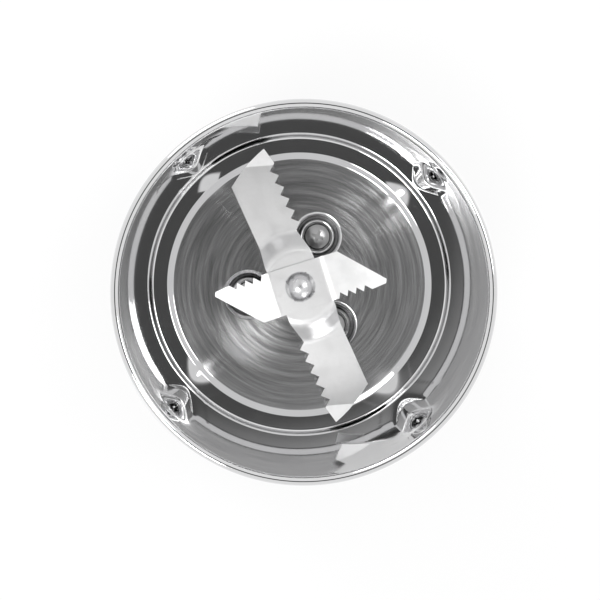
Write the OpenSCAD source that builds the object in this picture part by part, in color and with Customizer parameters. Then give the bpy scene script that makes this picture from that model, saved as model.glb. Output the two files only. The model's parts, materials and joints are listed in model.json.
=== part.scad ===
// Small steel grinding jar with its blade unit and moulded base.
// Origin: centre of the base's bottom edge. +Z runs up the blade shaft, +X is the photo's right.

/* [Steel bowl] */
// Inside radius of the straight wall
wall_r = 50; // [48:0.5:53]
// Thickness of the drawn sheet
sheet = 0.8; // [0.6:0.1:1.2]
// Depth of the bowl from the rim to the outer floor ring
bowl_depth = 65; // [55:1:80]
// Height of the outer floor ring above the base's bottom edge
floor_z = 38; // [36:0.5:42]
// Inside radius of the corner between wall and floor
corner_r = 1.1; // [0.9:0.1:3]
// Outside radius of the rolled rim's section
bead_r = 1.25; // [1.1:0.05:1.8]
// Inside radius of the rolled rim's section
bead_hole_r = 0.4; // [0.2:0.05:0.5]
// Radius at the middle of the step between the two floor levels
step_r = 43.4; // [40:0.1:44]
// Width of that step
step_w = 1.8; // [1.4:0.1:2.4]
// Rise of the middle of the floor over its outer ring
step_h = 0.7; // [0.5:0.1:1.2]

/* [Flow breakers] */
// Number of ribs pressed into the wall
breakers = 4; // [2:1:6]
// Direction of the first rib
breaker_angle = 41.6; // [0:1:89]
// Width of a rib where it leaves the wall
breaker_w = 12; // [8:0.5:14]
// How far a rib stands into the bowl
breaker_rise = 3.2; // [2:0.1:3.5]
// Distance from the rim to a rib's upper end
breaker_drop = 10; // [8:0.5:14]
// Length of a rib
breaker_len = 42; // [30:1:44]
// Share of the rib that tapers away at its foot
breaker_taper = 0.55; // [0.3:0.05:0.7]

/* [Screws and pockets] */
// Number of screws through the floor
screws = 3; // [3:1:4]
// Direction of the first screw
screw_angle = 70; // [60:1:80]
// Pitch radius of the screws
screw_pitch_r = 17.5; // [17:0.1:19]
// Radius of a pocket's flat bottom
pocket_r = 5.4; // [5:0.1:5.6]
// Radius at which a pocket's rolled edge meets the floor
pocket_mouth_r = 8.4; // [8:0.1:8.4]
// Depth of a pocket
pocket_depth = 2.6; // [2:0.1:3]
// Radius of a screw's thread
screw_r = 2; // [1.5:0.1:2]
// Length of a screw under its head
screw_len = 14; // [12:0.5:16]
// Radius of a screw's head
head_r = 4; // [3.5:0.1:4.2]
// Height of a screw's head
head_h = 2.4; // [2:0.1:3]
// Length of one slot of the cross recess
recess_len = 4.2; // [3.5:0.1:5]
// Width of one slot of the cross recess
recess_w = 1; // [0.7:0.1:1.3]
// Depth of the cross recess
recess_depth = 1.4; // [1:0.1:1.6]
// Radius of the sealing washer under a head
screw_seal_r = 4.4; // [4.3:0.1:4.8]
// Thickness of the sealing washer under a head
screw_seal_t = 0.6; // [0.4:0.1:1]
// Radius of a threaded insert
insert_r = 3; // [2.8:0.1:3.4]
// Length of a threaded insert
insert_len = 8; // [6:0.5:9]

/* [Bearing unit] */
// Radius of the shaft where it runs in the bushes
shaft_r = 5; // [4:0.1:5]
// Wall of a bush
bush_wall = 1; // [0.9:0.05:1.1]
// Length of the upper bush
upper_bush_len = 9.5; // [8:0.5:10]
// Length of the lower bush
lower_bush_len = 8.5; // [7:0.5:9]
// Wall of the housing's neck around the bushes
neck_wall = 1.5; // [1.3:0.05:1.6]
// Height of the neck over the outer floor ring
neck_rise = 7.5; // [6.5:0.5:8.5]
// Length of the whole housing
housing_len = 24; // [23:0.5:25]
// Radius of the housing's barrel under its flange
barrel_r = 9.4; // [9:0.1:10]
// Thickness of the three eared flange
flange_t = 3.4; // [2.5:0.1:4]
// Radius of an ear of the flange
ear_r = 6; // [5.5:0.1:6.5]
// Radius of the hollow for the shaft seal
seal_r = 6.6; // [6.4:0.05:6.7]
// Height of the shaft seal
seal_h = 3; // [2.5:0.1:3.5]
// Thickness of the rubber gasket between floor and flange
gasket_t = 1; // [0.8:0.1:1.5]

/* [Shaft] */
// Radius of the threaded end
thread_r = 4; // [3:0.1:4]
// Width of the square end that turns the blades
square_w = 7.2; // [6.5:0.1:7.2]
// Radius of the hammered head
rivet_r = 4.9; // [4.6:0.1:5.2]
// Height of the hammered head
rivet_h = 2.4; // [1.8:0.1:3]
// Thickness of the thrust washers
thrust_t = 0.8; // [0.6:0.1:1]
// Thickness of the cup washer under the blades
cup_t = 0.7; // [0.5:0.1:1]
// How far the cup washer reaches down over the neck
cup_drop = 2.6; // [1.5:0.1:4]
// Thickness of the retaining ring
clip_t = 0.9; // [0.7:0.1:1.2]
// Outside radius of the retaining ring
clip_r = 7.4; // [7:0.1:8]
// Depth of the retaining ring's groove
groove_depth = 0.6; // [0.4:0.1:0.8]

/* [Long blade] */
// Direction of the long blade
blade_angle = 114.5; // [0:0.5:180]
// Thickness of the long blade
blade_t = 1.6; // [1.2:0.1:2]
// Distance from the axis to a tip, along the blade
blade_reach = 45.6; // [42:0.2:46]
// Distance from the blade's middle line to its plain edge
spine_off = 7; // [6:0.1:7.5]
// Distance from the blade's middle line to the tooth points
edge_off = 8.7; // [8:0.1:9.2]
// Half width of the blade's middle
hub_half = 8; // [7.8:0.1:8.6]
// How far the end of the plain edge lies inside the tip
end_slant = 6.8; // [5:0.2:9]
// Radius of the upper fold
fold_in = 12.2; // [11.6:0.1:12.8]
// Radius of the lower fold
fold_out = 17.8; // [16.8:0.1:18.4]
// Height by which the arms lie under the blade's middle
fold_drop = 3.4; // [2:0.1:3.6]
// Number of teeth on an arm
teeth = 5; // [3:1:5]
// Distance between two teeth
tooth_pitch = 4.2; // [3.6:0.1:4.3]
// Depth of a tooth
tooth_depth = 2.2; // [1:0.1:2.4]
// Angle by which the tip is bent up
tip_bend = 24; // [10:1:35]

/* [Short blade] */
// Direction of the short blade
short_angle = 17.5; // [0:0.5:180]
// Thickness of the short blade
short_t = 1.2; // [1:0.1:1.6]
// Distance from the axis to a tip, along the short blade
short_reach = 26.8; // [24:0.2:30]
// Half width of the short blade
short_half = 7.4; // [6.5:0.1:8]
// Distance from the axis to the fold
short_fold = 9.4; // [8.5:0.1:10.5]
// Distance from the axis to the corner of the plain edge
short_corner = 14.7; // [13:0.1:16]
// Angle by which the arms are bent up
short_bend = 22; // [10:1:30]
// Number of fine teeth on an arm
short_teeth = 4; // [3:1:4]
// Distance between two fine teeth
short_pitch = 2.7; // [2:0.1:3]
// Depth of a fine tooth
short_tooth_depth = 1.9; // [0.8:0.1:2]
// Distance from the axis to a weld dimple
dimple_off = 7.2; // [6.5:0.1:7.6]
// Radius of a weld dimple
dimple_r = 1; // [0.6:0.1:1.2]

/* [Moulded base] */
// Outside radius of the skirt
skirt_r = 57; // [56:0.5:59]
// Wall of the skirt
skirt_wall = 3.2; // [2.5:0.1:4]
// Wall of the collar round the bowl's foot
collar_wall = 2.6; // [2:0.1:3]
// How far the collar reaches up over the floor ring
collar_rise = 12; // [8:0.5:16]
// Height of the step where the skirt meets the collar
shoulder_z = 27; // [24:0.5:30]
// Thickness of the deck that carries the bearing unit
deck_t = 3; // [2.5:0.1:4]
// Number of webs under the deck
webs = 12; // [6:3:18]
// Thickness of a web
web_t = 2; // [1.6:0.1:2.6]
// Free height inside the skirt, up to the webs
skirt_free = 19; // [17:0.5:20]
// Radius of a screw boss
boss_r = 5.2; // [4.8:0.1:5.6]
// Number of locking lugs outside the skirt
lugs = 4; // [4:4:8]
// How far a lug stands out of the skirt
lug_rise = 2.4; // [1.5:0.1:3]
// Angle that a lug covers
lug_span = 15; // [10:1:20]
// Height of a lug
lug_h = 5; // [4:0.5:7]
// Height of a lug's lower face
lug_z = 7; // [6:0.5:9]
// Height of the slimmer spigot at the skirt's lower edge
spigot_h = 6; // [4:0.5:6]
// How far the spigot lies inside the skirt
spigot_in = 0.6; // [0.4:0.1:1]
// Height of the counterbore that centres the skirt on its drive
counterbore_h = 3; // [2:0.5:3.5]
// How far the counterbore widens the skirt's inside
counterbore_w = 0.6; // [0.4:0.1:0.8]
// Thickness of the rubber ring between bowl and base
cushion_t = 1.2; // [1:0.1:1.6]
// Width of the rubber ring's flat foot
cushion_w = 6; // [5:0.5:8]

/* [Drive coupler] */
// Radius of the coupler at its lobes
coupler_r = 17; // [15:0.5:18]
// Number of lobes
lobes = 6; // [4:1:8]
// Radius of a lobe's round end
lobe_r = 3.6; // [3:0.1:4]
// Radius of the coupler between its lobes
coupler_core_r = 12.5; // [12:0.1:14]
// Height of the coupler
coupler_h = 12; // [10:0.5:13]
// Height of the coupler's lower face
coupler_z = 4; // [3:0.5:6]
// Width across the flats of the coupler's metal core
core_w = 15; // [13:0.5:16]
// How far the metal core stands out of the coupler
core_stand = 1.4; // [0.8:0.1:2]

/* [Fits] */
// Radial clearance of the shaft in its bushes
running_gap = 0.04; // [0.02:0.01:0.08]
// Radial clearance of a seated piece
seat_gap = 0.05; // [0.03:0.01:0.1]
// Free play between parts that turn and parts that don't
play = 0.3; // [0.2:0.05:0.5]
// Radial clearance of a screw in its hole
screw_gap = 0.3; // [0.2:0.05:0.5]

/* [Hidden] */
$fn = 96;
over = 1;
reach_all = 2 * skirt_r;

rim_z = floor_z + bowl_depth;
wall_out_r = wall_r + sheet;
bead_z = rim_z - bead_r;
bead_mid_r = wall_r + bead_r;
mid_z = floor_z + step_h;
mid_under_z = mid_z - sheet;
ring_under_z = floor_z - sheet;
step_in_r = step_r - step_w / 2;
step_out_r = step_r + step_w / 2;
pocket_z = mid_z - pocket_depth;
pocket_under_z = pocket_z - sheet;
pocket_edge_r = 1.6;
pocket_throat_r = pocket_mouth_r - pocket_edge_r;
screw_turn = 360 / screws;

breaker_r = (pow(breaker_w / 2, 2) + pow(breaker_rise, 2)) / (2 * breaker_rise);
breaker_mid_r = wall_r - breaker_rise + breaker_r;
breaker_fade_r = breaker_mid_r - wall_r;
breaker_cap = sqrt(pow(breaker_r, 2) - pow(breaker_fade_r, 2));
breaker_top_z = rim_z - breaker_drop - breaker_cap;
breaker_foot_z = rim_z - breaker_drop - breaker_len;
breaker_knee_z = breaker_foot_z + breaker_len * breaker_taper;

bush_r = shaft_r + bush_wall;
neck_r = bush_r + neck_wall;
neck_top_z = floor_z + neck_rise;
housing_z = neck_top_z - housing_len;
neck_hole_r = neck_r + 2 * seat_gap;
shoulder_r = screw_pitch_r - pocket_mouth_r - 0.1;
gasket_under_z = pocket_under_z - gasket_t;
deck_top_z = gasket_under_z - flange_t;
deck_under_z = deck_top_z - deck_t;
neck_gasket_z = mid_under_z - gasket_t;
seal_z = neck_top_z - seal_h;
upper_bush_z = seal_z - upper_bush_len;
felt_z = housing_z + lower_bush_len;

screw_seat_z = pocket_z + screw_seal_t;
screw_end_z = screw_seat_z - screw_len;
insert_z = deck_top_z - insert_len;
boss_z = min(insert_z, screw_end_z) - 3;

thrust_z = neck_top_z + play;
cup_z = thrust_z + thrust_t;
hub_z = cup_z + cup_t;
short_z = hub_z + blade_t;
rivet_z = short_z + short_t;
lower_thrust_z = housing_z - play - thrust_t;
clip_z = lower_thrust_z - clip_t;
core_top_z = coupler_z + coupler_h + core_stand;
core_z = coupler_z + 1;
groove_r = shaft_r - groove_depth;

blade_mid_z = hub_z + blade_t / 2;
arm_mid_z = blade_mid_z - fold_drop;
spine_end = blade_reach - end_slant;
tooth_from = blade_reach - 5.4;
tip_side = edge_off - 0.9;
tip_fold_at = blade_reach - 4.2;
tip_fold_angle = 20;
tip_flat = 3;

collar_top_z = floor_z + collar_rise;
cushion_in_r = wall_out_r + seat_gap;
cushion_out_r = cushion_in_r + cushion_t;
cushion_z = ring_under_z - cushion_t;
collar_in_r = cushion_out_r + seat_gap;
collar_out_r = collar_in_r + collar_wall;
skirt_in_r = skirt_r - skirt_wall;
ledge_in_r = cushion_out_r - cushion_w;
edge_round = 1;

// Unit vector, and the half turn left of it
function unit(v) = v / norm(v);
function left(v) = [-v[1], v[0]];

// Offset direction at point i of the line p, so that a strip keeps its thickness at a bend
function mitre(p, i) =
    let (a = unit(i > 0 ? p[i] - p[i - 1] : p[1] - p[0]))
    let (b = unit(i < len(p) - 1 ? p[i + 1] - p[i] : a))
    let (s = left(a) + left(b))
    s / (1 + left(a) * left(b));

// Closed outline of a strip of thickness t that follows the line p
function ribbon(p, t) = concat(
    [for (i = [0:len(p) - 1]) p[i] + mitre(p, i) * t / 2],
    [for (i = [len(p) - 1:-1:0]) p[i] - mitre(p, i) * t / 2]);

// Points of a soft bend at b on the way from a to c
function bend(a, b, c, s) =
    let (p = b + unit(a - b) * s, q = b + unit(c - b) * s)
    [for (j = [0:4]) let (u = j / 4) (1 - u) * (1 - u) * p + 2 * u * (1 - u) * b + u * u * q];

// Ring of rectangular section
module ring(out_r, in_r, z, h) {
    translate([0, 0, z])
        difference() {
            cylinder(r = out_r, h = h);
            translate([0, 0, -over]) cylinder(r = in_r, h = h + 2 * over);
        }
}

// Cap of a ball, r wide at its foot and h high
module dome(r, h) {
    ball_r = (r * r + h * h) / (2 * h);
    rotate_extrude()
        intersection() {
            translate([0, h - ball_r]) circle(r = ball_r);
            square([r + over, h + over]);
        }
}

// Copies its children to each screw's place
module at_screws() {
    for (i = [0:screws - 1])
        rotate([0, 0, screw_angle + i * screw_turn]) translate([screw_pitch_r, 0, 0]) children();
}

// Side view of the bowl's wall and its rolled rim, as half a section
module wall_section() {
    translate([wall_r, floor_z + corner_r]) square([sheet, bead_z - floor_z - corner_r]);
    difference() {
        translate([bead_mid_r, bead_z]) circle(r = bead_r);
        translate([bead_mid_r, bead_z]) circle(r = bead_hole_r);
        translate([wall_out_r, bead_z - bead_r - over]) square([bead_hole_r, bead_r + over]);
    }
}

// Side view of the round corner between wall and floor
module corner_section() {
    translate([wall_r - corner_r, floor_z + corner_r])
        difference() {
            intersection() {
                circle(r = corner_r + sheet);
                translate([0, -corner_r - sheet]) square(corner_r + sheet);
            }
            circle(r = corner_r);
        }
}

// Side view of all that lies under the floor's upper face, with that face raised by z
module under_floor(z) {
    low_z = ring_under_z - sheet;
    translate([0, z])
        polygon([
            [0, low_z], [0, mid_z], [step_in_r, mid_z], [step_out_r, floor_z],
            [wall_r - corner_r, floor_z], [wall_r - corner_r, low_z]
        ]);
}

// Side view of the floor from the neck's hole to the corner
module floor_section() {
    difference() {
        under_floor(0);
        under_floor(-sheet);
        translate([0, ring_under_z - over]) square([neck_hole_r, step_h + sheet + 2 * over]);
    }
}

// Space inside a pressed pocket, or outside it when grown by g
module pocket_shape(g) {
    rotate_extrude()
        difference() {
            union() {
                translate([0, pocket_z - g]) square([pocket_r + g, pocket_depth]);
                translate([0, mid_z - pocket_edge_r]) square([pocket_mouth_r, pocket_edge_r]);
                polygon([
                    [0, pocket_z - g], [pocket_r + g, pocket_z - g],
                    [pocket_throat_r + g, mid_z - pocket_edge_r], [0, mid_z - pocket_edge_r]
                ]);
            }
            translate([pocket_mouth_r, mid_z - pocket_edge_r]) circle(r = pocket_edge_r - g);
        }
}

// One flow breaker's rounded body, thinner by g for its hollow back
module breaker_shape(g) {
    translate([breaker_mid_r, 0, 0])
        rotate_extrude()
            union() {
                intersection() {
                    translate([0, breaker_top_z]) circle(r = breaker_r - g);
                    translate([0, breaker_top_z]) square(breaker_r);
                }
                polygon([
                    [0, breaker_foot_z], [breaker_fade_r - g, breaker_foot_z],
                    [breaker_r - g, breaker_knee_z], [breaker_r - g, breaker_top_z],
                    [0, breaker_top_z]
                ]);
            }
}

// Drawn steel bowl: rolled rim, pressed ribs, stepped floor and screw pockets
module jar_shell() {
    color("gainsboro")
    difference() {
        union() {
            rotate_extrude() {
                wall_section();
                corner_section();
                floor_section();
            }
            for (i = [0:breakers - 1])
                rotate([0, 0, breaker_angle + i * 360 / breakers])
                    intersection() {
                        breaker_shape(0);
                        translate([0, 0, floor_z]) cylinder(r = wall_r + sheet / 2, h = bowl_depth);
                    }
            at_screws() intersection() {
                pocket_shape(sheet);
                translate([0, 0, pocket_under_z]) cylinder(r = pocket_mouth_r, h = pocket_depth + sheet / 2);
            }
        }
        for (i = [0:breakers - 1])
            rotate([0, 0, breaker_angle + i * 360 / breakers]) breaker_shape(sheet);
        at_screws() {
            pocket_shape(0);
            translate([0, 0, pocket_under_z - over]) cylinder(r = screw_r + screw_gap, h = 2 * over + sheet);
        }
    }
}

// Rubber ring of L shape that seats the bowl's foot in the base
module cushion_ring() {
    corner = corner_r + sheet + seat_gap;
    color("dimgray")
    rotate_extrude()
        difference() {
            union() {
                translate([ledge_in_r, cushion_z]) square([cushion_w, cushion_t - seat_gap]);
                translate([cushion_in_r - corner, cushion_z])
                    square([corner + cushion_t, collar_top_z - cushion_z - edge_round]);
            }
            translate([cushion_in_r - corner, ring_under_z - seat_gap + corner]) circle(r = corner);
            translate([cushion_in_r - corner - over, ring_under_z - seat_gap + corner])
                square([corner + over, bowl_depth]);
            translate([0, ring_under_z - seat_gap]) square([cushion_in_r - corner, corner]);
        }
}

// Outline shared by the flange and the gasket: a round middle and an ear at each screw
module eared_outline(middle_r) {
    difference() {
        union() {
            circle(r = middle_r);
            at_screws() circle(r = ear_r);
            at_screws() translate([-screw_pitch_r, -ear_r]) square([screw_pitch_r, 2 * ear_r]);
        }
        at_screws() circle(r = screw_r + screw_gap);
    }
}

// Flat rubber gasket under the pockets
module floor_gasket() {
    color("dimgray")
    translate([0, 0, gasket_under_z + seat_gap])
        linear_extrude(gasket_t - 2 * seat_gap)
            difference() {
                eared_outline(shoulder_r + 2);
                circle(r = shoulder_r + seat_gap);
            }
}

// Rubber washer that seals the neck where it comes through the floor
module neck_gasket() {
    color("dimgray")
    ring(shoulder_r, neck_r + seat_gap, neck_gasket_z + seat_gap, gasket_t - 2 * seat_gap);
}

// Cast housing: eared flange, barrel, neck, bush bore and seal seat
module bearing_housing() {
    bore_r = bush_r + seat_gap;
    color("silver")
    difference() {
        union() {
            translate([0, 0, deck_top_z]) linear_extrude(flange_t) eared_outline(shoulder_r + 2);
            translate([0, 0, housing_z]) cylinder(r = barrel_r, h = deck_top_z - housing_z + over);
            translate([0, 0, deck_top_z]) cylinder(r = shoulder_r, h = neck_gasket_z - deck_top_z);
            translate([0, 0, deck_top_z]) cylinder(r = neck_r, h = neck_top_z - deck_top_z);
        }
        translate([0, 0, housing_z - over]) cylinder(r = bore_r, h = housing_len + 2 * over);
        translate([0, 0, seal_z]) cylinder(r = seal_r, h = seal_h + over);
    }
}

// Upper sintered bush
module upper_bush() {
    color("peru") ring(bush_r, shaft_r + running_gap, upper_bush_z, upper_bush_len);
}

// Lower sintered bush
module lower_bush() {
    color("peru") ring(bush_r, shaft_r + running_gap, housing_z, lower_bush_len);
}

// Oiled felt between the bushes
module oil_felt() {
    color("burlywood")
    ring(bush_r - seat_gap, shaft_r + play, felt_z + seat_gap, upper_bush_z - felt_z - 2 * seat_gap);
}

// Rubber shaft seal with a sprung lip
module shaft_seal() {
    out_r = seal_r - seat_gap;
    lip_r = shaft_r + 2 * running_gap;
    root_r = shaft_r + 0.7;
    color("black")
    translate([0, 0, seal_z + seat_gap])
        rotate_extrude()
            polygon([
                [root_r, 0], [out_r, 0], [out_r, seal_h - 0.4], [root_r + 0.4, seal_h - 0.4],
                [lip_r + 0.3, seal_h - 0.2], [lip_r, seal_h - 0.5], [lip_r, seal_h - 0.8],
                [root_r, seal_h - 1.2]
            ]);
}

// Screws with a low round head and a cross recess
module floor_screws() {
    color("gray")
    at_screws() difference() {
        union() {
            translate([0, 0, screw_end_z]) cylinder(r = screw_r - seat_gap, h = screw_len + over);
            translate([0, 0, screw_seat_z]) cylinder(r = head_r, h = head_h / 2);
            translate([0, 0, screw_seat_z + head_h / 2]) dome(head_r, head_h / 2);
        }
        for (a = [0, 90])
            rotate([0, 0, a])
                translate([-recess_len / 2, -recess_w / 2, screw_seat_z + head_h - recess_depth])
                    cube([recess_len, recess_w, recess_depth + over]);
    }
}

// Sealing washers under the screw heads
module screw_seals() {
    color("black")
    at_screws() ring(screw_seal_r, screw_r + seat_gap, pocket_z, screw_seal_t);
}

// Threaded brass inserts in the base's bosses
module screw_inserts() {
    color("goldenrod")
    at_screws() ring(insert_r, screw_r, insert_z, insert_len - seat_gap);
}

// Side view of the base's outer walls, deck and ledge, as half a section
module base_section() {
    difference() {
        union() {
            translate([skirt_in_r, 0]) square([skirt_wall, shoulder_z - edge_round]);
            translate([skirt_in_r, 0]) square([skirt_wall - edge_round, shoulder_z]);
            translate([skirt_r - edge_round, shoulder_z - edge_round]) circle(r = edge_round);
            translate([collar_in_r, shoulder_z - skirt_wall])
                square([collar_wall, collar_top_z - shoulder_z + skirt_wall - edge_round]);
            translate([collar_in_r, deck_under_z])
                square([collar_wall - edge_round, collar_top_z - deck_under_z]);
            translate([collar_out_r - edge_round, collar_top_z - edge_round]) circle(r = edge_round);
            translate([barrel_r + 2 * seat_gap, deck_under_z])
                square([collar_in_r - barrel_r, deck_t]);
            translate([ledge_in_r, deck_under_z])
                square([collar_in_r - ledge_in_r + over, cushion_z - deck_under_z - seat_gap]);
            translate([skirt_in_r - over, deck_under_z]) square([skirt_wall, shoulder_z - deck_under_z]);
        }
        translate([ledge_in_r + skirt_wall, deck_top_z])
            square([collar_in_r - ledge_in_r - 2 * skirt_wall, cushion_z - deck_top_z - deck_t]);
        translate([skirt_r - spigot_in, -over]) square([spigot_in + over, spigot_h + over]);
        translate([skirt_in_r - over, -over]) square([counterbore_w + over, counterbore_h + over]);
    }
}

// Moulded base: skirt, collar, deck with bosses and webs, and locking lugs
module base_collar() {
    color("dimgray")
    difference() {
        union() {
            rotate_extrude() base_section();
            translate([0, 0, boss_z + 2]) cylinder(r = barrel_r + 3, h = deck_under_z - boss_z - 1);
            at_screws() translate([0, 0, boss_z]) cylinder(r = boss_r, h = deck_under_z - boss_z + over);
            intersection() {
                translate([0, 0, skirt_free]) cylinder(r = skirt_in_r + over, h = deck_under_z - skirt_free + over);
                for (i = [0:webs - 1])
                    rotate([0, 0, screw_angle + i * 360 / webs])
                        translate([barrel_r + 1, -web_t / 2, 0]) cube([skirt_r, web_t, reach_all]);
            }
            for (i = [0:lugs - 1])
                rotate([0, 0, (i + 0.5) * 360 / lugs]) translate([0, 0, lug_z])
                    intersection() {
                        ring(skirt_r + lug_rise, skirt_r - over, 0, lug_h);
                        linear_extrude(lug_h) polygon([
                            [0, 0], [reach_all, -reach_all * tan(lug_span / 2)],
                            [reach_all, reach_all * tan(lug_span / 2)]
                        ]);
                    }
        }
        translate([0, 0, -over]) cylinder(r = barrel_r + 2 * seat_gap, h = reach_all);
        at_screws() translate([0, 0, insert_z - seat_gap]) cylinder(r = insert_r + seat_gap, h = reach_all);
        at_screws() translate([0, 0, screw_end_z - 1]) cylinder(r = screw_r + screw_gap, h = insert_len);
    }
}

// Shaft with its threaded end, ring groove, square end and hammered head
module blade_shaft() {
    color("lightgray")
    difference() {
        union() {
            translate([0, 0, coupler_z + 2]) cylinder(r = thread_r - seat_gap, h = core_top_z - coupler_z);
            translate([0, 0, core_top_z]) cylinder(r = shaft_r, h = hub_z - core_top_z);
            rotate([0, 0, blade_angle]) intersection() {
                translate([-square_w / 2, -square_w / 2, hub_z - over])
                    cube([square_w, square_w, rivet_z - hub_z + 1.5 * over]);
                translate([0, 0, hub_z - over]) cylinder(r = shaft_r - seat_gap, h = rivet_z - hub_z + 2 * over);
            }
            translate([0, 0, rivet_z]) dome(rivet_r, rivet_h);
        }
        ring(shaft_r + over, groove_r, clip_z - seat_gap, clip_t + 2 * seat_gap);
    }
}

// Square hole through a blade
module square_hole(z) {
    w = square_w + 2 * seat_gap;
    rotate([0, 0, blade_angle]) translate([-w / 2, -w / 2, z - over]) cube([w, w, blade_t + 2 * over]);
}

// Plan of one arm of the long blade, along +X with its teeth towards -Y
module arm_plan() {
    plan_in = fold_in - 2;
    plan_out = fold_out - 1.4;
    short_flank = 0.44 * tooth_pitch;
    polygon(concat(
        [[0, hub_half], [plan_in, hub_half], [plan_out, spine_off], [spine_end, spine_off]],
        [for (u = [1:4]) let (v = u / 5) [
            spine_end + end_slant * v + 0.9 * sin(180 * v),
            spine_off - (spine_off + tip_side) * v
        ]],
        [[blade_reach, -tip_side], [tooth_from, -edge_off - 0.3]],
        [for (i = [0:teeth - 1]) each [
            [tooth_from - i * tooth_pitch - short_flank, tooth_depth - edge_off],
            [tooth_from - (i + 1) * tooth_pitch, -edge_off]
        ]],
        [[tooth_from - teeth * tooth_pitch - short_flank, tooth_depth - edge_off], [plan_in, -hub_half],
         [0, -hub_half]]));
}

// Solid strip with the side view p, wide enough for any blade
module strip(p, t) {
    translate([0, reach_all / 2, 0]) rotate([90, 0, 0]) linear_extrude(reach_all) polygon(ribbon(p, t));
}

// One arm of the long blade: dished down round its middle and bent up at its tip
module long_arm() {
    hub = [0, blade_mid_z];
    inner = [fold_in, blade_mid_z];
    outer = [fold_out, arm_mid_z];
    far = [skirt_r, arm_mid_z];
    side = concat([hub], bend(hub, inner, outer, 1.4), bend(inner, outer, far, 1.4), [far]);
    tip_line = [[-reach_all, 0], [0, 0], [20, 20 * tan(tip_bend)]];
    intersection() {
        translate([0, 0, arm_mid_z - 5]) linear_extrude(20) arm_plan();
        union() {
            difference() {
                rotate_extrude() polygon(ribbon(side, blade_t));
                tip_frame() translate([-tip_flat, -reach_all, -over]) cube([reach_all, 2 * reach_all, reach_all]);
            }
            intersection() {
                tip_frame() translate([0, 0, arm_mid_z]) strip(tip_line, blade_t);
                tip_frame() translate([-tip_flat, -reach_all, -over]) cube([reach_all, 2 * reach_all, reach_all]);
            }
        }
    }
}

// Frame of the tip's fold line
module tip_frame() {
    translate([tip_fold_at, -edge_off / 2, 0]) rotate([0, 0, -tip_fold_angle]) children();
}

// Long serrated blade
module long_blade() {
    color("whitesmoke")
    difference() {
        for (a = [0, 180]) rotate([0, 0, blade_angle + a]) long_arm();
        square_hole(hub_z);
    }
}

// Plan of one arm of the short blade, along +X with its teeth towards -Y
module short_plan() {
    tip_w = 1.3;
    last = short_corner + 7;
    polygon(concat(
        [[0, short_half], [short_corner, short_half], [short_reach, tip_w - short_half + 0.6],
         [short_reach - 0.5, 0.6 - short_half], [last, -short_half]],
        [for (i = [0:short_teeth - 1]) each [
            [last - i * short_pitch - 0.7 * short_pitch, short_tooth_depth - short_half],
            [last - (i + 1) * short_pitch, -short_half]
        ]],
        [[0, -short_half]]));
}

// Short upper blade with its arms bent up
module short_blade() {
    mid = short_z + short_t / 2;
    hub = [0, mid];
    fold = [short_fold, mid];
    far = fold + [skirt_r, skirt_r * tan(short_bend)];
    side = concat([hub], bend(hub, fold, far, 1.2), [far]);
    color("whitesmoke")
    difference() {
        for (a = [0, 180])
            rotate([0, 0, short_angle + a])
                intersection() {
                    translate([0, 0, short_z - over]) linear_extrude(reach_all) short_plan();
                    strip(side, short_t);
                }
        square_hole(short_z);
        for (s = [-1, 1])
            rotate([0, 0, short_angle]) translate([s * dimple_off, 0, rivet_z - 0.3])
                cylinder(r = dimple_r, h = over);
    }
}

// Cup washer that turns over the neck and throws off what runs down
module cup_washer() {
    in_r = neck_r + play;
    color("silver")
    difference() {
        translate([0, 0, cup_z - cup_drop]) cylinder(r = in_r + cup_t, h = cup_drop + cup_t);
        translate([0, 0, cup_z - cup_drop - over]) cylinder(r = in_r, h = cup_drop + over);
        translate([0, 0, cup_z - over]) cylinder(r = shaft_r + seat_gap, h = cup_t + 2 * over);
    }
}

// Thrust washer over the neck
module upper_thrust_washer() {
    color("ivory") ring(neck_r - 0.4, shaft_r + seat_gap, thrust_z, thrust_t);
}

// Thrust washer under the lower bush
module lower_thrust_washer() {
    color("ivory") ring(clip_r + 0.4, shaft_r + seat_gap, lower_thrust_z, thrust_t);
}

// Open retaining ring in the shaft's groove
module retaining_ring() {
    color("gray")
    difference() {
        ring(clip_r, groove_r + seat_gap, clip_z, clip_t);
        translate([0, -groove_r * 0.6, clip_z - over]) cube([clip_r + over, groove_r * 1.2, clip_t + 2 * over]);
    }
}

// Hexagonal metal core, threaded for the shaft
module coupler_core() {
    color("goldenrod")
    difference() {
        translate([0, 0, core_z]) cylinder(r = core_w / sqrt(3), h = core_top_z - core_z, $fn = 6);
        translate([0, 0, core_z - over]) cylinder(r = thread_r, h = core_top_z);
    }
}

// Moulded coupler with round lobes that fits the drive below
module drive_coupler() {
    core_hole_r = (core_w + 2 * seat_gap) / sqrt(3);
    color("black")
    translate([0, 0, coupler_z])
        difference() {
            linear_extrude(coupler_h) {
                circle(r = coupler_core_r);
                for (i = [0:lobes - 1])
                    rotate([0, 0, i * 360 / lobes]) {
                        translate([coupler_r - lobe_r, 0]) circle(r = lobe_r);
                        translate([0, -lobe_r]) square([coupler_r - lobe_r, 2 * lobe_r]);
                    }
            }
            translate([0, 0, core_z - coupler_z - seat_gap])
                cylinder(r = core_hole_r, h = coupler_h, $fn = 6);
            translate([0, 0, -over]) cylinder(r = thread_r + play, h = coupler_h);
        }
}

jar_shell();
cushion_ring();
floor_gasket();
neck_gasket();
bearing_housing();
upper_bush();
lower_bush();
oil_felt();
shaft_seal();
floor_screws();
screw_seals();
screw_inserts();
base_collar();
blade_shaft();
long_blade();
short_blade();
cup_washer();
upper_thrust_washer();
lower_thrust_washer();
retaining_ring();
coupler_core();
drive_coupler();
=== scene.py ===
"""Looks of a small steel grinding jar with crossed blades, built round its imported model."""
import json
import logging
import math
from dataclasses import dataclass, field
from enum import Enum
from typing import Sequence, Union

import bmesh
import bpy
from mathutils import Matrix, Vector
from mathutils.geometry import delaunay_2d_cdt


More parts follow.
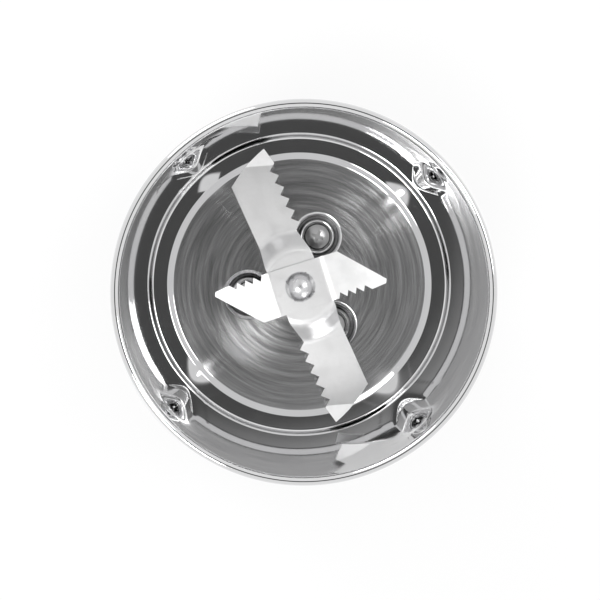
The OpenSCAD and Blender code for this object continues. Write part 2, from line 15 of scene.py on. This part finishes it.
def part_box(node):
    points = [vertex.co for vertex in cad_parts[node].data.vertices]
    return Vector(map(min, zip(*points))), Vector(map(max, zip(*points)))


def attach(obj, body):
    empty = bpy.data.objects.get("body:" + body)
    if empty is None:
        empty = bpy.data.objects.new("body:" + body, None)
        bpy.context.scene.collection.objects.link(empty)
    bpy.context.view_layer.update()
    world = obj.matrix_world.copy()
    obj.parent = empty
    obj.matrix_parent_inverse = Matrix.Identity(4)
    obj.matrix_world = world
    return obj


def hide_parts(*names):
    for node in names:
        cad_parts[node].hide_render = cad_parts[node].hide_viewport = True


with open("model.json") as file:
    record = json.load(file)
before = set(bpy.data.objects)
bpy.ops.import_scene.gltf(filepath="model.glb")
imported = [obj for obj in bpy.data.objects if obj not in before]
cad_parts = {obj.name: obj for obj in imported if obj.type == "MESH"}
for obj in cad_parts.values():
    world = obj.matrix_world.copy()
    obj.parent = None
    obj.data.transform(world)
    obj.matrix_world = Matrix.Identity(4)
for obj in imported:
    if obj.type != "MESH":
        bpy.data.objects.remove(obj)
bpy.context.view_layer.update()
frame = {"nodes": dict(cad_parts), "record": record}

log = logging.getLogger("jar")
MM = 0.001
Point = tuple[float, float]
Colour = tuple[float, float, float]
Value = Union["Socket", float, Colour]


class Body(Enum):
    """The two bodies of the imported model."""

    JAR = "jar"
    ROTOR = "rotor"


class Socket:
    """One output of a shader node, with arithmetic between outputs and numbers."""

    def __init__(self, shader: "Shader", link: bpy.types.NodeSocket | None) -> None:
        """Keep the output, if the node has one, and the shader that it belongs to."""
        self.shader = shader
        self.link = link

    def maths(self, operation: str, *values: Value) -> "Socket":
        """Add a Math node.

        Args:
            operation: The node's operation.
            values: Its inputs, in order.

        Returns:
            The node's output.
        """
        return self.shader.node(
            "ShaderNodeMath", {"operation": operation}, dict(enumerate(values))
        )

    def __add__(self, other: Value) -> "Socket":
        """Sum."""
        return self.maths("ADD", self, other)

    def __radd__(self, other: Value) -> "Socket":
        """Sum with a number on the left."""
        return self.maths("ADD", other, self)

    def __sub__(self, other: Value) -> "Socket":
        """Difference."""
        return self.maths("SUBTRACT", self, other)

    def __rsub__(self, other: Value) -> "Socket":
        """Difference with a number on the left."""
        return self.maths("SUBTRACT", other, self)

    def __mul__(self, other: Value) -> "Socket":
        """Product."""
        return self.maths("MULTIPLY", self, other)

    def __rmul__(self, other: Value) -> "Socket":
        """Product with a number on the left."""
        return self.maths("MULTIPLY", other, self)

    def __truediv__(self, other: Value) -> "Socket":
        """Quotient."""
        return self.maths("DIVIDE", self, other)

    def __pow__(self, other: Value) -> "Socket":
        """Power."""
        return self.maths("POWER", self, other)

    def between(self, low: float, high: float) -> "Socket":
        """Share from 0 at low to 1 at high, with a soft start and end.

        Args:
            low: Value that gives 0.
            high: Value that gives 1.

        Returns:
            The share.
        """
        return self.shader.node(
            "ShaderNodeMapRange",
            {"interpolation_type": "SMOOTHSTEP"},
            {"Value": self, "From Min": low, "From Max": high},
        )


class Shader:
    """A material's node tree, written as expressions."""

    def __init__(self, name: str) -> None:
        """Start an empty node tree.

        Args:
            name: The material's name.
        """
        self.material = bpy.data.materials.new(name)
        self.material.use_nodes = True
        self.tree = self.material.node_tree
        self.tree.nodes.clear()

    def node(
        self,
        kind: str,
        settings: dict | None = None,
        inputs: dict | None = None,
        output: int | str = 0,
    ) -> Socket:
        """Add any node.

        Args:
            kind: The node's type.
            settings: Its own settings; stops gives a ramp's stops.
            inputs: Values or links of its sockets, by name or place.
            output: Name or place of the output that is wanted.

        Returns:
            The wanted output.
        """
        made = self.tree.nodes.new(kind)
        for key, value in (settings or {}).items():
            if key == "stops":
                self.set_stops(made.color_ramp, value)
            else:
                setattr(made, key, value)
        for key, value in (inputs or {}).items():
            self.feed(made.inputs[key], value)
        return Socket(self, made.outputs[output] if made.outputs else None)

    def feed(self, socket: bpy.types.NodeSocket, value: Value) -> None:
        """Link an output to a socket, or set the socket's own value.

        Args:
            socket: The input.
            value: An output, a number or a colour.
        """
        if isinstance(value, Socket):
            self.tree.links.new(value.link, socket)
        elif isinstance(value, tuple) and len(value) == 3 and socket.type == "RGBA":
            socket.default_value = (*value, 1.0)
        else:
            socket.default_value = value

    @staticmethod
    def set_stops(ramp: bpy.types.ColorRamp, stops: Sequence[tuple[float, float]]) -> None:
        """Set a ramp's stops.

        Args:
            ramp: The ramp.
            stops: Pairs of place and grey value.
        """
        while len(ramp.elements) < len(stops):
            ramp.elements.new(1.0)
        for element, (place, grey) in zip(ramp.elements, stops):
            element.position = place
            element.color = (grey, grey, grey, 1.0)

    def place(self) -> Socket:
        """Position in the object's own frame, in metres."""
        return self.node("ShaderNodeTexCoord", output="Object")

    def parts(self, vector: Socket) -> tuple[Socket, Socket, Socket]:
        """The three numbers of a vector."""
        split = self.node("ShaderNodeSeparateXYZ", None, {0: vector}).link.node
        return tuple(Socket(self, split.outputs[i]) for i in range(3))

    def vector(self, x: Value, y: Value, z: Value) -> Socket:
        """A vector from three numbers."""
        return self.node("ShaderNodeCombineXYZ", None, {0: x, 1: y, 2: z})

    def noise(self, vector: Socket, scale: float, detail: float = 2.0) -> Socket:
        """Soft noise from about 0 to 1."""
        return self.node(
            "ShaderNodeTexNoise", None, {"Vector": vector, "Scale": scale, "Detail": detail}
        )

    def stretched(self, vector: Socket, by: tuple[float, float, float]) -> Socket:
        """The vector with each part multiplied."""
        return self.node(
            "ShaderNodeVectorMath", {"operation": "MULTIPLY"}, {0: vector, 1: by}
        )

    def mix(self, share: Value, first: Value, second: Value) -> Socket:
        """Blend of two colours.

        Args:
            share: How much of the second.
            first: Colour at 0.
            second: Colour at 1.

        Returns:
            The blend.
        """
        made = self.tree.nodes.new("ShaderNodeMix")
        made.data_type = "RGBA"
        self.feed(made.inputs[0], share)
        self.feed(made.inputs[6], first)
        self.feed(made.inputs[7], second)
        return Socket(self, made.outputs[2])

    def bump(self, height: Socket, depth: float, under: Socket | None = None) -> Socket:
        """Fine relief.

        Args:
            height: Relief from 0 to 1.
            depth: Its full depth in metres.
            under: A coarser relief that it lies on.

        Returns:
            The normal.
        """
        inputs = {"Height": height, "Distance": depth, "Strength": 1.0}
        if under is not None:
            inputs["Normal"] = under
        return self.node("ShaderNodeBump", None, inputs)

    def surface(self, **inputs: Value) -> bpy.types.Material:
        """End the tree in one principled surface.

        Args:
            inputs: Socket names, with underscores for blanks.

        Returns:
            The material.
        """
        named = {key.replace("_", " "): value for key, value in inputs.items()}
        ended = self.node("ShaderNodeBsdfPrincipled", None, named)
        self.node("ShaderNodeOutputMaterial", None, {"Surface": ended})
        return self.material


@dataclass(frozen=True)
class PolishedSteel:
    """Mirror polished sheet with a faint haze and hairline scratches."""

    name: str = "polished_steel"
    colour: Colour = (0.8, 0.8, 0.805)
    rough: float = 0.045
    haze: float = 0.05

    def material(self) -> bpy.types.Material:
        """Build the finish."""
        s = Shader(self.name)
        at = s.place()
        x, y, z = s.parts(at)
        cloud = s.noise(at, 60.0, 3.0)
        hair = s.noise(s.vector(x * 90.0, y * 90.0, z * 2200.0), 1.0, 2.0)
        lines = hair.between(0.55, 0.75)
        rough = self.rough + self.haze * cloud * lines
        wave = s.noise(at, 26.0, 1.0)
        relief = s.bump(hair, 0.0000012, s.bump(wave, 0.00003))
        tone = s.mix(cloud, self.colour, tuple(0.94 * c for c in self.colour))
        return s.surface(Base_Color=tone, Metallic=1.0, Roughness=rough, Normal=relief)


@dataclass(frozen=True)
class TurnedSteel:
    """Sheet with fine turned rings round the shaft's axis."""

    name: str = "turned_steel"
    colour: Colour = (0.74, 0.74, 0.745)
    rough: float = 0.15
    spread: float = 0.8
    ring_scale: float = 5200.0

    def material(self) -> bpy.types.Material:
        """Build the finish."""
        s = Shader(self.name)
        at = s.place()
        x, y, _ = s.parts(at)
        radius = (x * x + y * y) ** 0.5
        along = s.vector(x / radius * 3.0, y / radius * 3.0, radius * self.ring_scale)
        rings = s.noise(along, 1.0, 4.0)
        broad = s.noise(
            s.vector(x / radius * 1.6, y / radius * 1.6, radius * 900.0), 1.0, 3.0
        )
        rough = self.rough + 0.06 * broad.between(0.3, 0.75)
        relief = s.bump(rings, 0.0000015, s.bump(broad, 0.0000015))
        tone = s.mix(
            rings.between(0.35, 0.7), self.colour, tuple(0.8 * c for c in self.colour)
        )
        return s.surface(
            Base_Color=tone,
            Metallic=1.0,
            Roughness=rough,
            Anisotropic=self.spread,
            Anisotropic_Rotation=0.25,
            Normal=relief,
        )


@dataclass(frozen=True)
class SatinSteel:
    """Rolled or stamped steel with a soft grain."""

    name: str = "blade_steel"
    colour: Colour = (0.86, 0.86, 0.86)
    rough: float = 0.34
    grain: tuple[float, float, float] = (400.0, 400.0, 400.0)
    depth: float = 0.000006

    def material(self) -> bpy.types.Material:
        """Build the finish."""
        s = Shader(self.name)
        at = s.place()
        grain = s.noise(s.stretched(at, self.grain), 1.0, 3.0)
        cloud = s.noise(at, 160.0, 4.0)
        rough = self.rough - 0.08 + 0.18 * cloud
        tone = s.mix(
            cloud.between(0.35, 0.8), self.colour, tuple(0.86 * c for c in self.colour)
        )
        relief = s.bump(grain, self.depth)
        return s.surface(Base_Color=tone, Metallic=1.0, Roughness=rough, Normal=relief)


@dataclass(frozen=True)
class Moulded:
    """Moulded plastic, rubber, felt or other plain stuff with a fine texture."""

    name: str
    colour: Colour
    rough: float = 0.4
    scale: float = 900.0
    depth: float = 0.00002
    metal: float = 0.0

    def material(self) -> bpy.types.Material:
        """Build the finish."""
        s = Shader(self.name)
        at = s.place()
        pits = s.noise(at, self.scale, 4.0)
        cloud = s.noise(at, 45.0, 2.0)
        rough = self.rough - 0.06 + 0.14 * cloud
        tone = s.mix(
            cloud.between(0.3, 0.8), self.colour, tuple(1.25 * c for c in self.colour)
        )
        relief = s.bump(pits, self.depth)
        return s.surface(
            Base_Color=tone, Metallic=self.metal, Roughness=rough, Normal=relief
        )


def new_piece(
    name: str,
    mesh: bmesh.types.BMesh,
    materials: Sequence[bpy.types.Material],
    smooth: float = 40.0,
) -> bpy.types.Object:
    """Turn a built mesh into an object.

    Args:
        name: The piece's name.
        mesh: Its mesh, which is freed.
        materials: Its finishes, in slot order.
        smooth: Edges sharper than this many degrees stay sharp.

    Returns:
        The new object, linked to the scene.
    """
    bmesh.ops.recalc_face_normals(mesh, faces=mesh.faces[:])
    for face in mesh.faces:
        face.smooth = True
    for edge in mesh.edges:
        edge.smooth = len(edge.link_faces) == 2 and edge.calc_face_angle() < math.radians(smooth)
    data = bpy.data.meshes.new(name)
    mesh.to_mesh(data)
    mesh.free()
    for material in materials:
        data.materials.append(material)
    piece = bpy.data.objects.new(name, data)
    bpy.context.scene.collection.objects.link(piece)
    return piece


def arc(mid: Point, r: float, start: float, end: float, steps: int) -> list[Point]:
    """Points on an arc.

    Args:
        mid: Its centre.
        r: Its radius.
        start: First angle in degrees.
        end: Last angle in degrees.
        steps: Number of stretches.

    Returns:
        The points, both ends among them.
    """
    turns = [math.radians(start + (end - start) * i / steps) for i in range(steps + 1)]
    return [(mid[0] + r * math.cos(t), mid[1] + r * math.sin(t)) for t in turns]


def level_ring(
    mesh: bmesh.types.BMesh, mid: Vector, r: float, z: float, sides: int
) -> list[bmesh.types.BMVert]:
    """Add the points of a level circle.

    Args:
        mesh: The mesh that they go into.
        mid: The circle's middle in plan.
        r: Its radius.
        z: Its height.
        sides: Number of points.

    Returns:
        The points in order.
    """
    turns = [2 * math.pi * i / sides for i in range(sides)]
    return [mesh.verts.new((mid.x + r * math.cos(t), mid.y + r * math.sin(t), z)) for t in turns]


def soft_ramp(share: float, soft: float) -> float:
    """A ramp from 0 to 1 with rounded ends.

    Args:
        share: Place along the ramp, where 0 and 1 are its corners.
        soft: How far the rounding reaches to each side of a corner.

    Returns:
        The height on the ramp.
    """

    def rise(u: float) -> float:
        """Height over a single rounded corner at 0."""
        return 0.0 if u < -soft else u if u > soft else (u + soft) ** 2 / (4 * soft)

    return rise(share) - rise(share - 1.0)


@dataclass
class Bowl:
    """Drawn steel bowl with a rolled rim, four pressed ribs, a stepped floor and three pockets."""

    rim_z: float
    wall_r: float = 50.0 * MM
    sheet: float = 0.8 * MM
    depth: float = 65.0 * MM
    corner_r: float = 1.1 * MM
    bead_r: float = 1.25 * MM
    bead_hole_r: float = 0.4 * MM
    step_r: float = 43.4 * MM
    step_w: float = 1.8 * MM
    step_h: float = 0.7 * MM
    step_soft: float = 0.16
    hole_r: float = 7.6 * MM
    rib_count: int = 4
    rib_angle: float = 41.6
    rib_w: float = 12.0 * MM
    rib_rise: float = 3.2 * MM
    rib_drop: float = 10.0 * MM
    rib_len: float = 42.0 * MM
    rib_taper: float = 0.55
    rib_blend: float = 0.9 * MM
    pocket_count: int = 3
    pocket_angle: float = 70.0
    pocket_pitch: float = 17.5 * MM
    pocket_r: float = 5.4 * MM
    pocket_mouth: float = 8.4 * MM
    pocket_depth: float = 2.6 * MM
    pocket_edge: float = 1.6 * MM
    screw_hole: float = 2.3 * MM
    row_h: float = 0.8 * MM
    fine_turn: float = 0.6
    plain_turn: float = 1.5

    @property
    def floor_z(self) -> float:
        """Height of the outer floor ring."""
        return self.rim_z - self.depth

    @property
    def mid_z(self) -> float:
        """Height of the middle of the floor."""
        return self.floor_z + self.step_h

    def turns(self) -> list[float]:
        """Directions of the wall's columns in degrees, closer together at the ribs."""
        reach = math.degrees(self.rib_w / self.wall_r)
        found = []
        at = 0.0
        pitch = 360.0 / self.rib_count
        while at < 360.0 - 0.5 * self.fine_turn:
            found.append(at)
            off = abs((at - self.rib_angle + pitch / 2) % pitch - pitch / 2)
            at += self.fine_turn if off < reach else self.plain_turn
        return found

    def rib(self, turn: float, z: float) -> float:
        """How far the wall is pressed in.

        Args:
            turn: Direction in degrees.
            z: Height.

        Returns:
            The inward shift in metres.
        """
        pitch = 360.0 / self.rib_count
        off = math.radians((turn - self.rib_angle + pitch / 2) % pitch - pitch / 2)
        ball = (self.rib_w**2 / 4 + self.rib_rise**2) / (2 * self.rib_rise)
        mid = self.wall_r - self.rib_rise + ball
        fade = mid - self.wall_r
        head_z = self.rim_z - self.rib_drop - math.sqrt(ball**2 - fade**2)
        foot_z = self.rim_z - self.rib_drop - self.rib_len
        knee_z = foot_z + self.rib_len * self.rib_taper
        if z > head_z:
            body = math.sqrt(max(ball**2 - (z - head_z) ** 2, 0.0))
        else:
            share = min((z - foot_z) / (knee_z - foot_z), 1.0)
            body = fade + (ball - fade) * share
        gap = math.sqrt(mid**2 + self.wall_r**2 - 2 * mid * self.wall_r * math.cos(off))
        rise = body - gap
        return 0.5 * (rise + math.sqrt(rise**2 + self.rib_blend**2)) if rise > -6 * MM else 0.0

    def step_line(self, drop: float) -> list[Point]:
        """Section of the step between the floor levels, lowered by drop, from inside out."""
        start = self.step_r - self.step_w / 2
        steps = 20
        shares = [(1 + 2 * self.step_soft) * i / steps - self.step_soft for i in range(steps + 1)]
        return [
            (start + u * self.step_w, self.mid_z - drop - self.step_h * soft_ramp(u, self.step_soft))
            for u in shares
        ]

    def wall_rows(self) -> list[float]:
        """Heights of the wall's rows, from the corner up to the rim's bead."""
        low = self.floor_z + self.corner_r
        high = self.rim_z - self.bead_r
        count = round((high - low) / self.row_h)
        return [low + (high - low) * i / count for i in range(count + 1)]

    def build(self, steel: bpy.types.Material, turned: bpy.types.Material) -> bpy.types.Object:
        """Make the bowl.

        Args:
            steel: Finish of the wall, the rim and the outer floor ring.
            turned: Finish of the floor's middle.

        Returns:
            The bowl.
        """
        mesh = bmesh.new()
        turns = [math.radians(t) for t in self.turns()]
        loops: list[list[bmesh.types.BMVert]] = []

        def ring(r: float, z: float, pressed: bool = False) -> list[bmesh.types.BMVert]:
            """One closed ring of points."""
            found = []
            for t in turns:
                a = r - (self.rib(math.degrees(t), z) if pressed else 0.0)
                found.append(mesh.verts.new((a * math.cos(t), a * math.sin(t), z)))
            return found

        def join(first: list, second: list, slot: int = 0) -> None:
            """Quads between two rings."""
            count = len(first)
            for i in range(count):
                j = (i + 1) % count
                face = mesh.faces.new((first[i], first[j], second[j], second[i]))
                face.material_index = slot

        bead = (self.wall_r + self.bead_r, self.rim_z - self.bead_r)
        out_r = self.wall_r + self.sheet
        corner = (self.wall_r - self.corner_r, self.floor_z + self.corner_r)
        step_top = self.step_line(0.0)
        step_under = self.step_line(self.sheet)
        inside = [(p, False) for p in step_top]
        for share in (0.02, 0.5, 0.98):
            start = self.step_r + (0.5 + self.step_soft) * self.step_w
            inside.append(((start + share * (corner[0] - start), self.floor_z), False))
        inside += [(p, False) for p in arc(corner, self.corner_r, 270, 360, 8)]
        inside += [((self.wall_r, z), True) for z in self.wall_rows()[1:]]
        inside += [(p, False) for p in arc(bead, self.bead_r, 180, -92, 28)[1:]]
        inside += [(p, False) for p in arc(bead, self.bead_hole_r, -92, 180, 12)]
        outside = [((out_r, z), True) for z in reversed(self.wall_rows())]
        outside += [(p, False) for p in arc(corner, self.corner_r + self.sheet, 360, 270, 8)[1:]]
        outside += [(p, False) for p in reversed(step_under)]
        for (r, z), pressed in inside + outside:
            loops.append(ring(r, z, pressed))
        for first, second in zip(loops, loops[1:]):
            join(first, second)
        self._floor(mesh, loops[0], self.mid_z, 0.0)
        self._floor(mesh, loops[-1], self.mid_z - self.sheet, self.sheet)
        self._holes(mesh)
        bmesh.ops.remove_doubles(mesh, verts=mesh.verts[:], dist=0.002 * MM)
        piece = new_piece("bowl", mesh, (steel, turned), 55.0)
        weigh = piece.modifiers.new("even_light", "WEIGHTED_NORMAL")
        weigh.keep_sharp = True
        weigh.weight = 80
        return piece

    def _pocket_line(self, g: float) -> list[Point]:
        """Section of a pocket from its mouth to the screw's hole, grown by g."""
        edge = self.pocket_edge - g
        mouth = self.pocket_mouth
        centre_z = self.mid_z - self.pocket_edge
        bottom_z = self.mid_z - self.pocket_depth - g
        line = arc((mouth, centre_z), edge, 90, 165, 10)
        foot = (self.pocket_r + g * 0.6, bottom_z)
        line += [
            (foot[0] + 0.35 * (line[-1][0] - foot[0]), foot[1] + 0.3 * (line[-1][1] - foot[1])),
            (foot[0] + 0.1 * (line[-1][0] - foot[0]), foot[1] + 0.05 * (line[-1][1] - foot[1])),
            (foot[0] - 0.3 * MM, foot[1]),
            (foot[0] - 0.6 * MM, foot[1]),
            (self.screw_hole + 0.2 * MM, foot[1]),
            (self.screw_hole, foot[1]),
        ]
        return line

    def _floor(self, mesh: bmesh.types.BMesh, outer: list, z: float, g: float) -> None:
        """Fill the middle of the floor, with its pockets and the neck's hole.

        Args:
            mesh: The bowl's mesh.
            outer: Ring of points at the step.
            z: Height of this face of the sheet.
            g: Distance of this face from the sheet's upper face.
        """
        sides = 96
        guard = 0.3 * MM
        points: list[Vector] = []
        edges: list[tuple[int, int]] = []
        holes: list[tuple[Vector, float]] = []

        def loop(found: Sequence[Vector]) -> None:
            """Add one closed outline."""
            start = len(points)
            points.extend(found)
            count = len(found)
            edges.extend((start + i, start + (i + 1) % count) for i in range(count))

        def circle(mid: Vector, r: float, count: int = sides) -> list[Vector]:
            """Points of a circle."""
            steps = [2 * math.pi * i / count for i in range(count)]
            return [mid + Vector((r * math.cos(t), r * math.sin(t))) for t in steps]

        rim = [Vector((v.co.x, v.co.y)) for v in outer]
        loop(rim)
        loop([p * (1 - guard / p.length) for p in rim])
        hub = Vector((0.0, 0.0))
        for r in (self.hole_r, self.hole_r + guard):
            loop(circle(hub, r))
        holes.append((hub, self.hole_r))
        for i in range(self.pocket_count):
            turn = math.radians(self.pocket_angle + i * 360.0 / self.pocket_count)
            mid = self.pocket_pitch * Vector((math.cos(turn), math.sin(turn)))
            for r in (self.pocket_mouth, self.pocket_mouth + guard):
                loop(circle(mid, r))
            holes.append((mid, self.pocket_mouth))
            self._pocket(mesh, mid, g, sides)
        flat, _, faces, *_ = delaunay_2d_cdt(points, edges, [], 1, 1e-9)
        made = [mesh.verts.new((p.x, p.y, z)) for p in flat]
        for face in faces:
            centre = sum((flat[k] for k in face), Vector((0.0, 0.0))) / len(face)
            if any((centre - mid).length < r * 0.999 for mid, r in holes):
                continue
            built = mesh.faces.new([made[k] for k in face])
            built.material_index = 1

    def _pocket(self, mesh: bmesh.types.BMesh, mid: Vector, g: float, sides: int) -> None:
        """One face of a pocket's pressed sheet.

        Args:
            mesh: The bowl's mesh.
            mid: The pocket's middle.
            g: Distance of this face from the sheet's upper face.
            sides: Number of points on each ring.
        """
        before: list[bmesh.types.BMVert] = []
        for r, z in self._pocket_line(g):
            ring = level_ring(mesh, mid, r, z, sides)
            for i in range(len(before)):
                j = (i + 1) % sides
                face = mesh.faces.new((before[i], before[j], ring[j], ring[i]))
                face.material_index = 1
            before = ring

    def _holes(self, mesh: bmesh.types.BMesh) -> None:
        """Close the sheet's edge at the neck's hole and at each screw's hole."""
        sides = 96
        places = [(Vector((0.0, 0.0)), self.hole_r, self.mid_z)]
        for i in range(self.pocket_count):
            turn = math.radians(self.pocket_angle + i * 360.0 / self.pocket_count)
            mid = self.pocket_pitch * Vector((math.cos(turn), math.sin(turn)))
            places.append((mid, self.screw_hole, self.mid_z - self.pocket_depth))
        for mid, r, top in places:
            rings = [level_ring(mesh, mid, r, z, sides) for z in (top, top - self.sheet)]
            for i in range(sides):
                j = (i + 1) % sides
                mesh.faces.new((rings[0][i], rings[0][j], rings[1][j], rings[1][i]))


@dataclass
class PhotoView:
    """Camera at the photo's place and angle."""

    rim_z: float
    shift: tuple[float, float] = (-7.0 * MM, 12.2 * MM)
    height: float = 260.0 * MM
    aim: tuple[float, float] = (-1.3 * MM, -1.5 * MM)
    focal_px: float = 965.0
    frame_px: float = 600.0
    sensor: float = 36.0

    def build(self) -> bpy.types.Object:
        """Make the camera and use it."""
        data = bpy.data.cameras.new("photo_view")
        data.sensor_fit = "HORIZONTAL"
        data.sensor_width = self.sensor
        data.lens = self.focal_px / self.frame_px * self.sensor
        data.clip_start = 0.01
        camera = bpy.data.objects.new("photo_view", data)
        bpy.context.scene.collection.objects.link(camera)
        place = Vector((*self.shift, self.rim_z + self.height))
        back = (place - Vector((*self.aim, self.rim_z))).normalized()
        right = Vector((0.0, 1.0, 0.0)).cross(back).normalized()
        up = back.cross(right)
        turn = Matrix((right, up, back)).transposed().to_4x4()
        camera.matrix_world = Matrix.Translation(place) @ turn
        bpy.context.scene.camera = camera
        return camera


@dataclass
class Studio:
    """Plain pale floor and soft light."""

    floor_half: float = 1.5
    floor_colour: Colour = (0.9, 0.9, 0.9)
    world_low: float = 0.9
    world_top: float = 0.08
    lamps: list[tuple[float, float, float, float, float]] = field(default_factory=list)

    def build(self) -> None:
        """Make the floor, the world and the lamps."""
        mesh = bmesh.new()
        bmesh.ops.create_grid(mesh, x_segments=2, y_segments=2, size=self.floor_half)
        floor = new_piece("studio_floor", mesh, (self._floor_finish(),))
        self._world()
        for number, (turn, height, size, distance, power) in enumerate(self.lamps):
            self._lamp(f"softbox_{number}", turn, height, size, distance, power)

    def _floor_finish(self) -> bpy.types.Material:
        """White to the camera, with the object's shadow kept."""
        s = Shader("studio_floor")
        plain = s.node("ShaderNodeBsdfDiffuse", None, {"Color": self.floor_colour})
        glow = s.node("ShaderNodeEmission", None, {"Color": (1.0, 1.0, 1.0), "Strength": 1.0})
        seen = s.node("ShaderNodeLightPath", output="Is Camera Ray")
        mirrored = s.node("ShaderNodeLightPath", output="Is Glossy Ray")
        share = seen.maths("MAXIMUM", seen, mirrored) * 0.8
        mixed = s.node("ShaderNodeMixShader", None, {0: share, 1: plain, 2: glow})
        s.node("ShaderNodeOutputMaterial", None, {"Surface": mixed})
        return s.material

    def _world(self) -> None:
        """Pale surroundings with a dark ceiling, as metal sees them, and white to the camera."""
        world = bpy.data.worlds.new("studio")
        bpy.context.scene.world = world
        world.use_nodes = True
        tree = world.node_tree
        tree.nodes.clear()
        at = tree.nodes.new("ShaderNodeTexCoord")
        split = tree.nodes.new("ShaderNodeSeparateXYZ")
        ramp = tree.nodes.new("ShaderNodeValToRGB")
        seen = tree.nodes.new("ShaderNodeLightPath")
        mix = tree.nodes.new("ShaderNodeMix")
        back = tree.nodes.new("ShaderNodeBackground")
        out = tree.nodes.new("ShaderNodeOutputWorld")
        mix.data_type = "RGBA"
        low, top = self.world_low, self.world_top
        Shader.set_stops(ramp.color_ramp, ((0.0, low), (0.965, low), (0.984, top), (1.0, top)))
        mix.inputs[7].default_value = (1.0, 1.0, 1.0, 1.0)
        tree.links.new(at.outputs["Generated"], split.inputs[0])
        tree.links.new(split.outputs[2], ramp.inputs[0])
        tree.links.new(seen.outputs["Is Camera Ray"], mix.inputs[0])
        tree.links.new(ramp.outputs[0], mix.inputs[6])
        tree.links.new(mix.outputs[2], back.inputs[0])
        tree.links.new(back.outputs[0], out.inputs[0])

    def _lamp(
        self, name: str, turn: float, height: float, size: float, distance: float, power: float
    ) -> None:
        """One square softbox that faces the jar.

        Args:
            name: Its name.
            turn: Its direction in degrees round the jar.
            height: Its angle over the floor in degrees.
            size: Its side in metres.
            distance: Its distance in metres.
            power: Its power in watts.
        """
        data = bpy.data.lights.new(name, "AREA")
        data.shape = "DISK"
        data.size = size
        data.energy = power
        lamp = bpy.data.objects.new(name, data)
        bpy.context.scene.collection.objects.link(lamp)
        a, e = math.radians(turn), math.radians(height)
        away = Vector((math.cos(a) * math.cos(e), math.sin(a) * math.cos(e), math.sin(e)))
        lamp.location = away * distance + Vector((0.0, 0.0, 0.05))
        lamp.rotation_euler = away.to_track_quat("Z", "Y").to_euler()


class Finishes:
    """All finishes, by the record's slot names."""

    def __init__(self) -> None:
        """Build each material once."""
        self.steel = PolishedSteel().material()
        self.turned = TurnedSteel().material()
        self.blade = SatinSteel().material()
        self.by_slot = {
            "polished_steel": self.steel,
            "blade_steel": self.blade,
            "shaft_steel": SatinSteel("shaft_steel", (0.76, 0.76, 0.77), 0.24).material(),
            "screw_steel": SatinSteel("screw_steel", (0.5, 0.5, 0.5), 0.34).material(),
            "spring_steel": Moulded(
                "spring_steel", (0.1, 0.1, 0.11), 0.36, 1200.0, 0.00001, 1.0
            ).material(),
            "cast_aluminium": SatinSteel(
                "cast_aluminium", (0.66, 0.66, 0.67), 0.42, (900.0,) * 3, 0.00003
            ).material(),
            "sintered_bronze": Moulded(
                "sintered_bronze", (0.56, 0.36, 0.2), 0.42, 2600.0, 0.00002, 1.0
            ).material(),
            "brass": SatinSteel("brass", (0.78, 0.6, 0.3), 0.28, (200.0, 200.0, 3000.0)).material(),
            "black_rubber": Moulded("black_rubber", (0.03, 0.03, 0.03), 0.6).material(),
            "felt": Moulded("felt", (0.42, 0.34, 0.22), 0.85, 1800.0, 0.00015).material(),
            "white_nylon": Moulded("white_nylon", (0.74, 0.73, 0.69), 0.45).material(),
            "black_plastic": Moulded("black_plastic", (0.035, 0.035, 0.038), 0.3, 1400.0, 0.000012).material(),
            "coupler_plastic": Moulded("coupler_plastic", (0.04, 0.04, 0.04), 0.5).material(),
        }

    def dress(self, nodes: dict[str, bpy.types.Object], record: dict) -> None:
        """Give every CAD node its slot's finish.

        Args:
            nodes: The CAD nodes by name.
            record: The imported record.
        """
        for part in record["subparts"]:
            node = nodes[part["node"]]
            node.data.materials.clear()
            node.data.materials.append(self.by_slot[part["material_slot"]])
            log.info("dressed %s in %s", part["node"], part["material_slot"])


def main() -> None:
    """Build the scene in order and report each piece."""
    logging.basicConfig(level=logging.INFO, format="%(name)s %(message)s")
    rim_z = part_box("jar_shell")[1].z
    PhotoView(rim_z).build()
    finishes = Finishes()
    finishes.dress(frame["nodes"], frame["record"])
    bowl = Bowl(rim_z).build(finishes.steel, finishes.turned)
    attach(bowl, Body.JAR.value)
    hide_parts("jar_shell")
    log.info("built %s", bowl.name)
    Studio(
        lamps=[
            (20.0, 62.0, 0.35, 1.1, 1.5),
            (232.0, 66.0, 0.3, 1.1, 2.5),
            (120.0, 35.0, 0.6, 1.3, 4.0),
        ]
    ).build()
    bpy.context.scene.view_settings.view_transform = "Standard"


if __name__ == "__main__":
    main()
